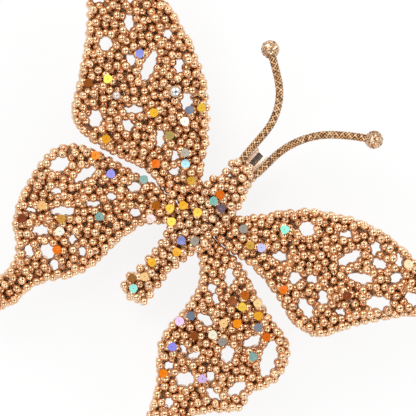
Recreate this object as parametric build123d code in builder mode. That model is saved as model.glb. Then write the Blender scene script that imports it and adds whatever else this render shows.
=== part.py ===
from build123d import *

import math
import os

import numpy as np

# Beads and sequins
bead_d = 3.0  # round plated bead
glue_gap = 0.05  # film of glue round every bead and sequin
place_step = 0.4  # grid on which places for beads are tried
places_tried = 0.8  # share of those places, so that the rows are uneven
heap_share = 0.92  # share of the pockets between beads that hold one more bead
back_share = 0.9  # share of the places on the back that hold a bead
pocket_rise = 0.93  # highest pocket that holds a bead, in bead pitches above the first layer
crest_rise = 1.4  # the same for the last beads, which cover what is still bare
bare_reach = 1.1  # a place is bare when no bead's middle is nearer, in bead radii
body_reach = 2.6  # beads heaped on the body reach this far past the core's side
sequin_w = 3.3  # hexagonal sequin, corner to corner
sequin_t = 0.2
sequin_tilt = 16.0  # most that a sequin leans, degrees
sequin_leans_tried = 60
sequin_near = 1.2  # sequins nearer than this, in their widths, lie one on the other

# How finely curves are sampled when beads are placed
outline_samples = 160
hole_samples = 24
route_samples = 40
flank_samples = 240
ring_samples = 90

# Wings
panel_t = 1.0  # moulded openwork panel under the beads
bead_overhang = 1.0  # beads stand this far past the panel's outer edge
hole_overhang = 0.5  # each of its holes is this much wider all round than the opening that shows
hole_crowd = 0.2  # and beads crowd this far into that opening
forewing_lift = 10.0  # degrees above the body's level
hindwing_lift = 7.0
slot_gap = 0.1  # clearance of a wing root in its slot
slot_room = 0.5  # the slot is this much longer than both roots at each end

# Body core, a slim spindle along Y
tail_y = -29.0
abdomen_y = -24.0
abdomen_r = 2.2
waist_y = -6.0
waist_r = 2.6
thorax_y = 20.0
thorax_r = 3.9
head_y = 26.5
head_r = 2.4
nose_y = 30.0
blunt_r = 0.6  # small flat at the tail and at the nose
seat_drop = 3.2  # flat under the thorax, below the core's axis

# Antennae
wire_d = 1.0
sleeve_d = 2.9
sleeve_bore_gap = 0.05
ball_d = 6.4
antenna_root = (1.6, 22.0)  # end of the wire inside the core, from the body's middle
antenna_splay = 11.0  # degrees outwards inside the head
antenna_rise = 10.0  # degrees above level
antenna_lead = 9.6  # straight run inside the head
sleeve_start = 8.2  # bare wire before the sleeve begins
antenna_kink_r = 18.0
ball_bore_depth = 2.0

# Clip
plate_t = 0.6
plate_w = 7.0  # at the pivot
jaw_w = 5.0  # at the jaw's tip
tab_w = 4.2  # finger tab
jaw_y = -7.0
tab_y = 39.0
tab_length = 14.0
tab_bevel = 1.0
lever_rim = 0.3  # strip of the lower lever that shows past the finger tab
pad_t = 1.2
pad_w = 4.6
pad_y = (2.0, 24.0)
pivot_y = 18.0
pin_d = 1.6
pin_gap = 0.05
ear_t = 0.55
ear_r = 1.7
ear_gap = 0.15
rivet_d = 2.6
rivet_t = 0.5
spring_wire_d = 0.7
spring_turns = 2.5
spring_mean_r = 1.6
spring_length = 3.3
spring_leg = 8.0
spring_gap = 0.05
jaw_gap = 0.1
tooth_pitch = 1.4
tooth_h = 0.5
tooth_count = 8
lever_drop = 4.6  # how far the lower lever's end hangs below its middle

# Sizes that follow from those above
bead_r = bead_d / 2
pitch = bead_d + glue_gap
stand = bead_r + glue_gap
axis_z = plate_t + pad_t + seat_drop
spring_wire_r = spring_wire_d / 2
pivot_z = -spring_gap - spring_wire_r - spring_mean_r
lever_z = pivot_z - spring_mean_r - spring_wire_r - spring_gap

# Wing shapes: (u, v) from the front of the root, round the tip, to the back of the root,
# and holes as (u, v, length, width, turn of the length in degrees)
left_forewing_edge = [
    (-2.2, 14.0), (-6.0, 15.0), (-15.0, 25.5), (-30.0, 42.0), (-44.0, 49.5), (-61.0, 54.0),
    (-80.0, 56.5), (-91.5, 54.0), (-92.5, 48.0), (-82.5, 36.0), (-70.5, 21.5), (-62.5, 8.0),
    (-57.5, 1.8), (-50.5, 0.0), (-36.0, 2.8), (-24.0, 5.5), (-19.0, 4.9), (-8.0, 4.7), (-2.2, 4.7),
]
left_forewing_holes = [
    (-66.5, 28.8, 4.5, 4.0, 0), (-65.2, 39.4, 5.2, 2.2, 133), (-53.0, 45.8, 2.8, 2.2, 133),
    (-50.2, 33.3, 10.5, 3.4, 111), (-56.2, 30.6, 3.2, 2.2, 133), (-42.4, 40.4, 4.2, 2.4, 133),
    (-32.0, 33.3, 5.6, 3.2, 133), (-51.4, 7.4, 5.2, 3.8, 133), (-41.6, 13.2, 3.5, 3.1, 0),
    (-43.8, 18.7, 5.6, 1.8, 43), (-30.2, 17.4, 5.6, 2.4, 133), (-22.3, 16.6, 3.1, 2.4, 133),
    (-18.8, 12.7, 3.1, 2.1, 43), (-78.2, 38.2, 3.8, 1.8, 43), (-79.0, 49.0, 6.5, 3.0, 15),
    (-71.0, 46.5, 4.0, 2.2, 120),
]
left_hindwing_edge = [
    (-2.2, 5.5), (-8.0, 5.6), (-18.0, 5.4), (-24.0, 4.4), (-41.0, 0.6), (-49.5, -2.6),
    (-55.5, -10.5), (-55.0, -20.0), (-52.8, -30.0), (-46.5, -40.5), (-40.0, -47.0), (-39.0, -56.0),
    (-40.0, -66.0), (-37.0, -70.5), (-32.5, -67.0), (-28.2, -60.0), (-27.0, -50.5),
    (-21.8, -42.5), (-17.2, -33.0), (-15.8, -20.5), (-12.8, -8.2), (-7.0, -3.6), (-2.2, -3.0),
]
left_hindwing_holes = [
    (-49.6, -12.8, 6.5, 4.0, 70), (-40.8, -9.4, 8.0, 2.8, 75), (-44.2, -20.2, 3.2, 1.6, 45),
    (-25.1, -1.1, 3.5, 2.4, 43), (-28.9, -8.9, 2.8, 1.8, 43), (-31.9, -15.0, 3.8, 1.8, 43),
    (-37.9, -23.9, 7.7, 2.8, 43), (-38.9, -34.2, 4.9, 3.1, 43), (-36.9, -42.2, 4.2, 2.2, 133),
    (-32.2, -37.7, 4.9, 4.2, 133), (-27.1, -39.9, 2.8, 2.1, 133), (-28.7, -29.2, 2.5, 2.3, 0),
    (-23.1, -29.9, 2.2, 1.8, 0), (-18.9, -7.3, 3.1, 2.1, 43), (-46.2, -31.0, 2.8, 1.5, 43),
]
right_forewing_edge = [
    (2.2, 14.0), (7.0, 15.0), (17.0, 25.8), (29.0, 37.2), (43.5, 44.8), (55.0, 46.9),
    (66.0, 46.8), (79.0, 48.6), (90.0, 46.8), (92.8, 42.0), (86.5, 36.4), (78.5, 32.0),
    (71.0, 23.4), (63.5, 12.0), (58.0, 3.6), (51.0, 1.3), (38.0, 4.0), (25.0, 5.6),
    (19.0, 4.9), (8.0, 4.7), (2.2, 4.7),
]
right_forewing_holes = [
    (30.2, 28.9, 5.0, 4.6, 0), (41.2, 36.6, 3.5, 2.1, 43), (51.9, 40.1, 3.8, 2.4, 133),
    (47.8, 31.6, 8.5, 3.2, 69), (56.8, 37.0, 4.9, 2.4, 10), (55.2, 28.9, 8.4, 2.5, 34),
    (60.8, 42.2, 4.6, 1.5, 133), (64.3, 37.2, 3.5, 2.8, 43), (29.4, 15.8, 4.5, 2.4, 43),
    (38.6, 13.7, 3.6, 3.4, 0), (43.2, 17.5, 2.8, 2.4, 43), (50.4, 15.2, 4.6, 3.0, 133),
    (48.4, 8.6, 7.5, 3.0, -13), (57.9, 15.6, 2.4, 1.9, 43), (65.4, 26.7, 7.7, 4.0, 40),
    (73.5, 35.8, 6.0, 3.4, 6), (80.5, 42.0, 5.0, 2.6, 20),
]
right_hindwing_edge = [
    (2.2, 5.5), (8.0, 5.6), (18.0, 5.4), (24.0, 4.2), (42.0, -1.6), (53.0, -4.6),
    (57.4, -10.5), (57.6, -20.0), (54.8, -26.4), (56.0, -31.0), (48.5, -41.2), (45.0, -48.0),
    (45.6, -60.0), (45.2, -68.0), (41.5, -71.5), (37.5, -68.0), (34.0, -61.0), (30.9, -53.0), (26.5, -45.5),
    (19.2, -36.5), (16.8, -25.0), (15.0, -12.4), (9.0, -5.0), (2.2, -3.0),
]
right_hindwing_holes = [
    (21.4, -1.7, 6.0, 2.8, 133), (19.4, -8.6, 2.5, 2.1, 133), (23.0, -10.5, 3.1, 1.8, 133),
    (25.2, -18.3, 6.0, 2.4, 15), (42.4, -12.5, 6.2, 3.0, 69), (50.6, -13.1, 12.0, 4.6, -63),
    (39.1, -21.8, 5.6, 3.8, 120), (49.6, -28.2, 7.0, 3.0, 79), (40.0, -31.5, 3.5, 2.2, 133),
    (26.5, -30.9, 2.8, 1.9, 133), (31.0, -29.8, 4.0, 2.0, 60), (26.9, -38.6, 2.8, 2.1, 43),
    (34.2, -38.2, 6.4, 4.2, 43), (35.8, -48.1, 3.5, 2.4, 133), (44.9, -35.2, 5.0, 2.2, 12),
]

# Sequins by colour, seen from above
sequin_spots = {
    "gold": [
        (-55.8, 20.2), (-10.5, 2.0), (-11.5, 14.0), (-35.5, -26.0), (-2.5, 7.5),
        (18.5, 11.5), (31.0, -6.0), (-26.0, 35.0), (-7.0, -1.0),
    ],
    "amber": [(-36.7, 22.5), (-42.6, 4.7), (-7.9, 5.8), (-2.5, -16.0), (37.0, -4.5), (1.5, -7.5)],
    "orange": [
        (-41.7, -1.9), (-24.5, 10.0), (-29.5, -35.0), (-14.8, -0.5), (26.5, -41.5),
        (37.0, 8.0), (33.5, -11.5), (44.0, -8.0), (-0.9, 17.2), (29.0, -2.5),
    ],
    "copper": [
        (-59.8, 14.7), (-45.5, -35.0), (25.5, -24.5), (54.1, 21.2), (27.0, -7.0),
        (-3.8, -24.8), (-27.5, 20.5),
    ],
    "cream": [(-27.0, 27.5), (-33.0, -29.5), (61.9, 43.1), (30.0, -20.0)],
    "peach": [(-43.5, -27.0), (-1.0, -21.5), (34.0, -1.5), (30.0, -14.5)],
    "aqua": [
        (-17.0, 17.0), (-26.5, -16.5), (-1.0, -27.0), (23.5, 23.5), (-1.1, 14.1),
        (-24.0, 3.2), (45.0, -16.0),
    ],
    "violet": [(-53.6, 33.9), (22.5, -32.5), (22.0, 13.5), (0.0, -3.5), (-33.5, -3.0)],
    "pink": [(18.5, -24.5), (37.5, -33.5), (-13.0, -5.0)],
    "slate": [
        (-19.6, 19.6), (-28.5, 31.5), (3.5, -0.5), (20.0, -20.5), (13.0, 14.0),
        (39.5, -7.5), (34.0, -19.5), (2.5, 14.0),
    ],
}

# Two odd beads on the left forewing, a larger silver one and a white one: place and width
odd_beads = {"silver_bead": (-34.7, 34.0, 4.2), "white_bead": (-51.0, 16.6, 3.0)}

os.makedirs("parts", exist_ok=True)
chance = np.random.default_rng(7)


def save(builder, name):
    """Label a finished piece and write it out."""
    builder.part.label = name
    export_step(builder.part, f"parts/{name}.step")


def points_on(edge, count):
    """Evenly spaced points on an edge, as an array."""
    return np.array([tuple(p) for p in edge.positions(np.linspace(0, 1, count))])


def nearest_side(points, loop):
    """Distance from each point to a closed loop, negative outside, and how far round it is nearest."""
    side = np.roll(loop, -1, axis=0) - loop
    reach = points[:, None, :] - loop
    share = np.clip((reach * side).sum(-1) / np.maximum((side**2).sum(-1), 1e-12), 0, 1)
    gaps = np.linalg.norm(reach - share[..., None] * side, axis=-1)
    nearest = gaps.argmin(axis=1)
    rows = np.arange(len(points))
    above = loop[:, 1] > points[:, 1:]
    crossing = above != np.roll(above, -1, axis=1)
    rise = np.where(side[:, 1] == 0, 1, side[:, 1])
    meets = loop[:, 0] + (points[:, 1:] - loop[:, 1]) * side[:, 0] / rise
    inside = (crossing & (points[:, :1] < meets)).sum(axis=1) % 2 == 1
    gap = gaps[rows, nearest]
    return np.where(inside, gap, -gap), nearest + share[rows, nearest]


def depth_inside(points, loop):
    """Distance from each point to the nearest side of a closed loop, negative outside it."""
    return nearest_side(points, loop)[0]


def moved_in(points, side, amount):
    """Outline points moved inwards by an amount; the two ends at the root only close up."""
    corners = np.array(points)
    along = np.gradient(corners, axis=0)
    along /= np.linalg.norm(along, axis=1)[:, None]
    inward = side * np.column_stack((along[:, 1], -along[:, 0]))
    inward[[0, -1]] = [(0, -1), (0, 1)]
    return [tuple(p) for p in corners + amount * inward]


class Wing:
    """One wing: its plane through the body's axis, its outline, its panel's edge and its holes."""

    def __init__(self, name, side, lift, edge, holes):
        lean = math.radians(lift)
        self.name = name
        self.side = side
        self.edge = edge
        self.holes = holes
        self.plane = Plane(
            origin=(0, 0, axis_z),
            x_dir=(math.cos(lean), 0, side * math.sin(lean)),
            z_dir=(-side * math.sin(lean), 0, math.cos(lean)),
        )
        self.turn = np.array([tuple(self.plane.x_dir), tuple(self.plane.y_dir), tuple(self.plane.z_dir)])
        self.loop = self.sampled(0)
        self.panel_loop = self.sampled(bead_overhang)
        self.places = self.found_places()

    def sampled(self, inset):
        """The outline as a fine closed loop."""
        with BuildLine() as outline:
            Spline(*moved_in(self.edge, self.side, inset))
        return points_on(outline.edges()[0], outline_samples)[:, :2]

    def to_part(self, local):
        return np.asarray(local) @ self.turn + (0, 0, axis_z)

    def to_wing(self, centres):
        return (centres - (0, 0, axis_z)) @ self.turn.T

    def found_places(self):
        """Places for beads inside the outline and off the holes, in rows that follow every edge."""
        low = self.loop.min(axis=0)
        high = self.loop.max(axis=0)
        grid = np.mgrid[low[0]:high[0]:place_step, low[1]:high[1]:place_step].reshape(2, -1).T
        grid = grid + chance.uniform(-place_step / 2, place_step / 2, grid.shape)
        depth, round_way = nearest_side(grid, self.loop)
        inside = depth > bead_r
        grid, depth, round_way = grid[inside], depth[inside], round_way[inside]
        angles = np.linspace(0, 2 * math.pi, hole_samples, endpoint=False)
        for number, (u, v, length, width, turn) in enumerate(self.holes, start=1):
            lean = math.radians(turn)
            a = max(length / 2 - hole_crowd, glue_gap) * np.cos(angles)
            b = max(width / 2 - hole_crowd, glue_gap) * np.sin(angles)
            rim = np.column_stack((
                u + a * math.cos(lean) - b * math.sin(lean),
                v + a * math.sin(lean) + b * math.cos(lean),
            ))
            inner, inner_way = nearest_side(grid, rim)
            closer = -inner < depth
            depth = np.where(closer, -inner, depth)
            round_way = np.where(closer, number * len(self.loop) + inner_way, round_way)
        row = np.floor((depth - bead_r) / place_step)
        order = np.lexsort((round_way, row))
        return grid[order][row[order] >= 0]


wings = [
    Wing("left_forewing", -1, forewing_lift, left_forewing_edge, left_forewing_holes),
    Wing("left_hindwing", -1, hindwing_lift, left_hindwing_edge, left_hindwing_holes),
    Wing("right_forewing", 1, forewing_lift, right_forewing_edge, right_forewing_holes),
    Wing("right_hindwing", 1, hindwing_lift, right_hindwing_edge, right_hindwing_holes),
]

# Openwork wing panels, each with a root that plugs into the body's core
for wing in wings:
    with BuildPart() as panel:
        with BuildSketch(wing.plane.offset(-panel_t / 2)):
            with BuildLine():
                rim = Spline(*moved_in(wing.edge, wing.side, bead_overhang))
                Line(rim @ 1, rim @ 0)
            make_face()
            for u, v, length, width, turn in wing.holes:
                with Locations((u, v)):
                    Ellipse(
                        length / 2 + hole_overhang,
                        width / 2 + hole_overhang,
                        rotation=turn,
                        mode=Mode.SUBTRACT,
                    )
        extrude(amount=panel_t)
    save(panel, f"{wing.name}_panel")

# Antennae: where each wire runs, seen in a plane that rises from the head
antenna_plane = Plane(
    origin=(0, antenna_root[1], axis_z),
    x_dir=(1, 0, 0),
    z_dir=(0, -math.sin(math.radians(antenna_rise)), math.cos(math.radians(antenna_rise))),
)
left_antenna_bends = [(10.0, 21.6, 54.2), (4.3, 60.0, 2.5)]  # straight run, then radius and turn of the bend
right_antenna_bends = [(4.7, 29.3, 48.7), (2.2, 60.0, 7.3)]
antenna_heading = {-1: 2.3, 1: 2.0}  # degrees outwards, once clear of the head
antenna_bends = {-1: left_antenna_bends, 1: right_antenna_bends}
splay = math.radians(antenna_splay)


def antenna_route(side, skipped):
    """Line of one antenna: out of the head, a slight kink, then runs and bends to the ball."""
    heading = (side * math.sin(splay), math.cos(splay))
    first = (side * antenna_root[0] + skipped * heading[0], skipped * heading[1])
    last = (side * antenna_root[0] + antenna_lead * heading[0], antenna_lead * heading[1])
    with BuildLine(antenna_plane) as route:
        run = Line(first, last)
        bend = JernArc(run @ 1, run % 1, antenna_kink_r, side * (antenna_splay - antenna_heading[side]))
        for straight, radius, turn in antenna_bends[side]:
            run = Line(bend @ 1, bend @ 1 + (bend % 1) * straight)
            bend = JernArc(run @ 1, run % 1, radius, -side * turn)
        Line(bend @ 1, bend @ 1 + (bend % 1) * ball_bore_depth)
    return route


wire_points = []
sleeve_points = []
for side, name in ((-1, "left_antenna"), (1, "right_antenna")):
    with BuildPart() as antenna_wire:
        route = antenna_route(side, 0)
        with BuildSketch(Plane(origin=route.line @ 0, z_dir=route.line % 0)):
            Circle(wire_d / 2)
        sweep(path=route.wires()[0])
    save(antenna_wire, f"{name}_wire")
    wire_points.extend(points_on(edge, route_samples) for edge in route.edges())

    with BuildPart() as antenna_sleeve:
        route = antenna_route(side, sleeve_start)
        with BuildSketch(Plane(origin=route.line @ 0, z_dir=route.line % 0)):
            Circle(sleeve_d / 2)
            Circle(wire_d / 2 + sleeve_bore_gap, mode=Mode.SUBTRACT)
        sweep(path=route.wires()[0])
    save(antenna_sleeve, f"{name}_sleeve")
    sleeve_points.extend(points_on(edge, route_samples) for edge in route.edges())

    end = route.edges().sort_by(Axis.Y)[-1]
    tip = end @ 1
    way = end % 1
    ball_centre = tip + way * (ball_d / 2 - ball_bore_depth)
    with BuildPart() as antenna_ball:
        with BuildSketch(Plane(origin=ball_centre, x_dir=way, z_dir=antenna_plane.z_dir)):
            Circle(ball_d / 2)
            with Locations((0, -ball_d / 2)):
                Rectangle(2 * ball_d, ball_d, mode=Mode.SUBTRACT)
            with Locations((ball_bore_depth + glue_gap - ball_d, 0)):
                Rectangle(ball_d, sleeve_d + 2 * glue_gap, mode=Mode.SUBTRACT)
        revolve(axis=Axis(ball_centre, way))
    save(antenna_ball, f"{name}_ball")
wire_points = np.concatenate(wire_points)
sleeve_points = np.concatenate(sleeve_points)

# Body core: a turned spindle with a slot for the wings on each side, holes for the wires and a flat
with BuildPart() as body_core:
    with BuildSketch(Plane(origin=(0, 0, axis_z), x_dir=(0, 0, -1), z_dir=(1, 0, 0))):
        with BuildLine():
            flank = Spline(
                (blunt_r, tail_y),
                (abdomen_r, abdomen_y),
                (waist_r, waist_y),
                (thorax_r, thorax_y),
                (head_r, head_y),
                (blunt_r, nose_y),
                tangents=((1, 0), (-1, 0)),
            )
            Polyline(flank @ 1, (0, nose_y), (0, tail_y), flank @ 0)
        make_face()
    revolve(axis=Axis((0, 0, axis_z), (0, 1, 0)))
    for fore, hind in (wings[:2], wings[2:]):
        root_u, front_y = fore.edge[0]
        back_y = hind.edge[-1][1]
        ends = ((root_u - fore.side * slot_gap, 0), (fore.side * 2 * thorax_r, 0))
        floor = [hind.plane.offset(-panel_t / 2 - slot_gap).from_local_coords(end) for end in ends]
        roof = [fore.plane.offset(panel_t / 2 + slot_gap).from_local_coords(end) for end in ends]
        corners = [(point.X, point.Z) for point in floor + roof[::-1]]
        with BuildSketch(Plane(origin=(0, front_y + slot_room, 0), x_dir=(1, 0, 0), z_dir=(0, -1, 0))):
            Polygon(*corners, align=None)
        extrude(amount=front_y - back_y + 2 * slot_room, mode=Mode.SUBTRACT)
    for side in (-1, 1):
        route = antenna_route(side, 0)
        start = route.line @ 0
        way = route.line % 0
        with BuildSketch(Plane(origin=start - way * glue_gap, z_dir=way)):
            Circle(wire_d / 2 + glue_gap)
        extrude(amount=antenna_lead, mode=Mode.SUBTRACT)
    with BuildSketch(Plane.XY.offset(axis_z - seat_drop)):
        with Locations((0, thorax_y)):
            Rectangle(4 * thorax_r, 2 * (nose_y - tail_y))
    extrude(amount=-thorax_r, mode=Mode.SUBTRACT)
save(body_core, "body_core")

flank_points = points_on(flank, flank_samples)[:, :2]
plate_box = np.array([(-plate_w / 2, jaw_y, lever_z - lever_drop), (plate_w / 2, tab_y, plate_t)])
pad_box = np.array([(-pad_w / 2, pad_y[0], plate_t), (pad_w / 2, pad_y[1], plate_t + pad_t)])
just_clear = stand - 1e-4


def clears_body(centres):
    """Which bead centres keep a glue gap from the core, the clip and the antennae."""
    clear = np.ones(len(centres), dtype=bool)
    beside = np.abs(centres[:, 0]) < thorax_r + plate_w
    near = centres[beside]
    girth = np.column_stack((np.hypot(near[:, 0], near[:, 2] - axis_z), near[:, 1]))
    room = depth_inside(girth, flank_points) < -just_clear
    for box in (plate_box, pad_box):
        outside = np.maximum(np.maximum(box[0] - near, near - box[1]), 0)
        room &= np.linalg.norm(outside, axis=1) > just_clear
    for points, radius in ((wire_points, wire_d / 2), (sleeve_points, sleeve_d / 2)):
        apart = np.linalg.norm(near[:, None, :] - points, axis=-1).min(axis=1)
        room &= apart > stand + radius
    clear[beside] = room
    return clear


def clears_panels(centres):
    """Which bead centres keep a glue gap from every wing panel."""
    clear = np.ones(len(centres), dtype=bool)
    for wing in wings:
        local = wing.to_wing(centres)
        above = np.maximum(np.abs(local[:, 2]) - panel_t / 2, 0)
        level = above < just_clear
        beside = np.maximum(-depth_inside(local[level, :2], wing.panel_loop), 0)
        clear[level] &= np.hypot(beside, above[level]) > just_clear
    return clear


laid = {}


def lay(centres):
    """Lay beads one by one, leaving out each that would touch a bead already there."""
    kept = []
    for x, y, z in centres:
        i, j, k = int(x // pitch), int(y // pitch), int(z // pitch)
        close = [
            bead
            for a in (i - 1, i, i + 1)
            for b in (j - 1, j, j + 1)
            for c in (k - 1, k, k + 1)
            for bead in laid.get((a, b, c), ())
        ]
        if all((x - p) ** 2 + (y - q) ** 2 + (z - r) ** 2 > pitch**2 - 1e-6 for p, q, r in close):
            laid.setdefault((i, j, k), []).append((x, y, z))
            kept.append((x, y, z))
    return kept


def thinned(beads, share):
    """A share of the beads just laid; the others are taken up again."""
    kept = []
    for bead, drawn in zip(beads, chance.uniform(size=len(beads))):
        if drawn < share:
            kept.append(bead)
        else:
            laid[tuple(int(c // pitch) for c in bead)].remove(bead)
    return kept


def face_layer(wing, face, share):
    """One layer of beads on a face of a wing, in rows that follow its edges and its holes."""
    tried = wing.places[chance.uniform(size=len(wing.places)) < places_tried]
    height = np.full(len(tried), face * (panel_t / 2 + stand))
    centres = wing.to_part(np.column_stack((tried, height)))
    return thinned(lay(centres[clears_body(centres) & clears_panels(centres)]), share)


def rest_on(places, below):
    """How high a bead comes to lie at each place on the beads below, and how far the nearest of them is."""
    apart = np.linalg.norm(places[:, None, :] - below[:, :2], axis=-1)
    lift = np.sqrt(np.maximum(pitch**2 - apart**2, 0))
    return np.where(apart < pitch, below[:, 2] + lift, -np.inf).max(axis=1), apart.min(axis=1)


def heaped_layer(wing, below, rise, nearest):
    """Beads that rest in the pockets of those below, lowest pockets first."""
    height, apart = rest_on(wing.places, wing.to_wing(np.array(below)))
    first = panel_t / 2 + stand
    pocket = (height > first) & (height < first + rise * pitch) & (apart > nearest)
    spots = np.column_stack((wing.places, height))[pocket]
    centres = wing.to_part(spots[np.argsort(spots[:, 2])])
    return lay(centres[clears_body(centres) & clears_panels(centres)])


def body_layer(low, high):
    """Beads stuck all round the core between two places along it, in rings from the tail."""
    along = np.gradient(flank_points, axis=0)
    along /= np.linalg.norm(along, axis=1)[:, None]
    outward = np.column_stack((along[:, 1], -along[:, 0]))
    ring = flank_points + stand * outward
    ring = ring[(ring[:, 1] >= low) & (ring[:, 1] < high)]
    angles = np.linspace(0, 2 * math.pi, ring_samples, endpoint=False)
    centres = np.array([
        (r * math.sin(t), y, axis_z + r * math.cos(t)) for r, y in ring for t in angles
    ])
    centres = centres[clears_body(centres) & clears_panels(centres)]
    return lay(centres[chance.uniform(size=len(centres)) < places_tried])


def body_heap(below):
    """Beads heaped on the upper side of the body and the wing roots."""
    grid = np.mgrid[-thorax_r - body_reach:thorax_r + body_reach:place_step, tail_y:nose_y:place_step]
    places = grid.reshape(2, -1).T
    girth = np.interp(places[:, 1], flank_points[:, 1], flank_points[:, 0])
    places = places[np.abs(places[:, 0]) < girth + body_reach]
    height = rest_on(places, below)[0]
    spots = np.column_stack((places, height))[height > axis_z + bead_d]
    centres = spots[np.argsort(spots[:, 2])]
    return lay(centres[clears_body(centres) & clears_panels(centres)])


def save_beads(centres, name):
    with BuildPart() as beads:
        with Locations(*centres):
            Sphere(bead_r)
    save(beads, name)


# Beads: wing fronts and backs, the body, those heaped on the wing fronts, and those on the body
fronts = {wing.name: face_layer(wing, 1, 1.0) for wing in wings}
backs = {wing.name: face_layer(wing, -1, back_share) for wing in wings}
body_limits = {"abdomen_beads": (-math.inf, waist_y), "thorax_beads": (waist_y, head_y - bead_d)}
body_limits["head_beads"] = (head_y - bead_d, math.inf)
body_beads = {name: body_layer(low, high) for name, (low, high) in body_limits.items()}
heaps = {}
for wing in wings:
    heap = thinned(heaped_layer(wing, fronts[wing.name], pocket_rise, 0), heap_share)
    cover = heaped_layer(wing, fronts[wing.name] + heap, crest_rise, bare_reach * bead_r)
    heaps[wing.name] = heap + cover
lower = np.array([bead for pile in (fronts, heaps, body_beads) for beads in pile.values() for bead in beads])
crown = body_heap(lower[np.abs(lower[:, 0]) < 2 * (thorax_r + body_reach)])
for name, (low, high) in body_limits.items():
    body_beads[name] += [bead for bead in crown if low <= bead[1] < high]

for name, (x, y, width) in odd_beads.items():
    pile = heaps["left_forewing"]
    odd = min(pile, key=lambda bead: math.dist(bead[:2], (x, y)))
    pile.remove(odd)
    below = np.array(fronts["left_forewing"] + pile)
    reach = (width + bead_d) / 2 + glue_gap
    apart = np.hypot(below[:, 0] - odd[0], below[:, 1] - odd[1])
    lift = np.sqrt(np.maximum(reach**2 - apart**2, 0))
    with BuildPart() as odd_bead:
        with Locations((odd[0], odd[1], (below[:, 2] + lift)[apart < reach].max())):
            Sphere(width / 2)
    save(odd_bead, name)
for wing in wings:
    save_beads(fronts[wing.name], f"{wing.name}_front_beads")
    save_beads(backs[wing.name], f"{wing.name}_back_beads")
    save_beads(heaps[wing.name], f"{wing.name}_top_beads")
for name, beads_on_body in body_beads.items():
    save_beads(beads_on_body, name)

# Sequins: each settles on the beads under it at the lean that lets it lie lowest
piles = list(fronts.values()) + list(heaps.values()) + list(body_beads.values())
every_bead = np.array([bead for pile in piles for bead in pile])
seated = []
for colour, spots in sequin_spots.items():
    with BuildPart() as sequins:
        for x, y in spots:
            lean = np.radians(chance.uniform(0, sequin_tilt, sequin_leans_tried))
            way = chance.uniform(0, 2 * math.pi, sequin_leans_tried)
            faces = np.column_stack((np.sin(lean) * np.cos(way), np.sin(lean) * np.sin(way), np.cos(lean)))
            below = -math.inf
            for other, other_face in seated:
                if math.dist((x, y), other[:2]) < sequin_near * sequin_w:
                    faces = other_face[None]
                    below = max(below, other_face @ other + sequin_t + glue_gap)
            apart = np.hypot(every_bead[:, 0] - x, every_bead[:, 1] - y) - sequin_w / 2
            under = apart < stand
            rise = np.sqrt(stand**2 - np.maximum(apart[under], 0) ** 2)
            floors = np.maximum((every_bead[under] @ faces.T + rise[:, None]).max(axis=0), below)
            heights = (floors - faces[:, 0] * x - faces[:, 1] * y) / faces[:, 2]
            lowest = heights.argmin()
            spot = np.array((x, y, heights[lowest]))
            seated.append((spot, faces[lowest]))
            with BuildSketch(Plane(origin=tuple(spot), z_dir=tuple(faces[lowest]))):
                RegularPolygon(sequin_w / 2, 6, rotation=chance.uniform(0, 60))
        extrude(amount=sequin_t)
    save(sequins, f"{colour}_sequins")

# Clip: pad that glues the clip to the flat of the core
with BuildPart() as clip_pad:
    with BuildSketch(Plane.XY.offset(plate_t)):
        with Locations((0, sum(pad_y) / 2)):
            RectangleRounded(pad_w, pad_y[1] - pad_y[0], pad_w / 4)
    extrude(amount=pad_t)
save(clip_pad, "clip_pad")

ear_x = plate_w / 2 - ear_t
inner_ear_x = ear_x - ear_gap - ear_t
inner_w = 2 * (inner_ear_x + ear_t)


def clip_plan(width, end_w, end_y):
    """Corners of a clip half in plan: wide at the pivot, narrower at the jaw and the finger tab."""
    wide_y = 2 * ear_r
    right = [
        (jaw_w / 2, jaw_y),
        (width / 2, pivot_y - wide_y),
        (width / 2, pivot_y + wide_y),
        (end_w / 2, pivot_y + 3 * wide_y),
        (end_w / 2, end_y),
    ]
    return right + [(-x, y) for x, y in reversed(right)]


# Clip: fixed upper plate with two ears and a bevelled finger tab that shows past the head
with BuildPart() as clip_upper_plate:
    with BuildSketch():
        with BuildLine():
            Polyline(*clip_plan(plate_w, tab_w, tab_y - tab_length / 2), close=True)
        make_face()
    extrude(amount=plate_t)
    jaw_corners = clip_upper_plate.edges().filter_by(Axis.Z).group_by(Axis.Y)[0]
    fillet(jaw_corners, jaw_w / 4)
    with BuildSketch():
        with Locations((0, tab_y - tab_length / 2)):
            Rectangle(tab_w, tab_length)
    extrude(amount=plate_t, taper=math.degrees(math.atan(tab_bevel / plate_t)))
    for side in (-1, 1):
        with BuildSketch(Plane.YZ.offset(side * ear_x)):
            with Locations((pivot_y, pivot_z)):
                Circle(ear_r)
            with Locations((pivot_y, pivot_z / 2)):
                Rectangle(2 * ear_r, -pivot_z)
            with Locations((pivot_y, pivot_z)):
                Circle(pin_d / 2 + pin_gap, mode=Mode.SUBTRACT)
        extrude(amount=side * ear_t)
save(clip_upper_plate, "clip_upper_plate")

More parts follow.
